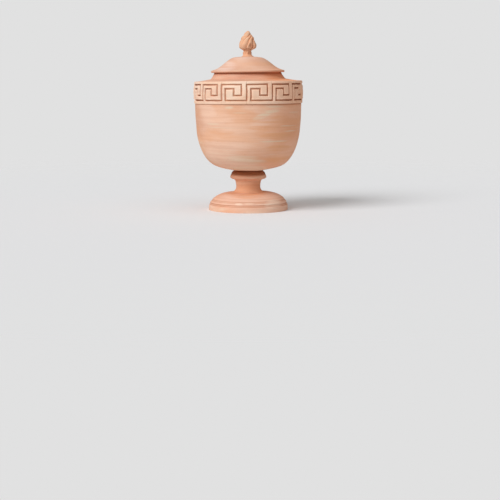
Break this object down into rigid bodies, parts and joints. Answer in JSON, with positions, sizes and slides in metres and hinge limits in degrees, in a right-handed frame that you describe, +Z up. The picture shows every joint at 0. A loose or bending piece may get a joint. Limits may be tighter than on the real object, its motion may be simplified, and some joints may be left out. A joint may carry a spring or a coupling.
{
  "type": "lidded urn",
  "caption": "Lidded terracotta urn: a bell-shaped bowl with a Greek key frieze on a stemmed, domed foot, with a domed lid topped by a flame finial.",
  "frame": {"origin": "centre of the face it rests on, under the foot", "axes": "+Z up along the axis that the urn was turned about, front towards -Y"},
  "size_m": [0.3904, 0.3904, 0.636],
  "materials": {
    "thrown_terracotta": "unglazed matte, fine turning lines, pale bloom",
    "moulded_terracotta": "unglazed matte, soft press-moulded edges"
  },
  "bodies": {
    "vessel": {"foot": "thrown_terracotta", "stem": "thrown_terracotta", "knop": "thrown_terracotta", "bowl": "thrown_terracotta", "shoulder": "thrown_terracotta", "neck": "thrown_terracotta", "frieze_key_01": "moulded_terracotta", "frieze_key_02": "moulded_terracotta", "frieze_key_03": "moulded_terracotta", "frieze_key_04": "moulded_terracotta", "frieze_key_05": "moulded_terracotta", "frieze_key_06": "moulded_terracotta", "frieze_key_07": "moulded_terracotta", "frieze_key_08": "moulded_terracotta", "frieze_key_09": "moulded_terracotta", "frieze_key_10": "moulded_terracotta", "frieze_key_11": "moulded_terracotta", "frieze_key_12": "moulded_terracotta", "frieze_key_13": "moulded_terracotta", "frieze_key_14": "moulded_terracotta"},
    "lid": {"lid": "thrown_terracotta", "lid_flange": "thrown_terracotta", "finial_stem": "moulded_terracotta", "finial_flame": "moulded_terracotta"}
  },
  "joints": [
    {"name": "lid_lift", "type": "slide", "parent": "vessel", "child": "lid", "axis": [0, 0, 1], "range_m": [0, 0.1]}
  ]
}
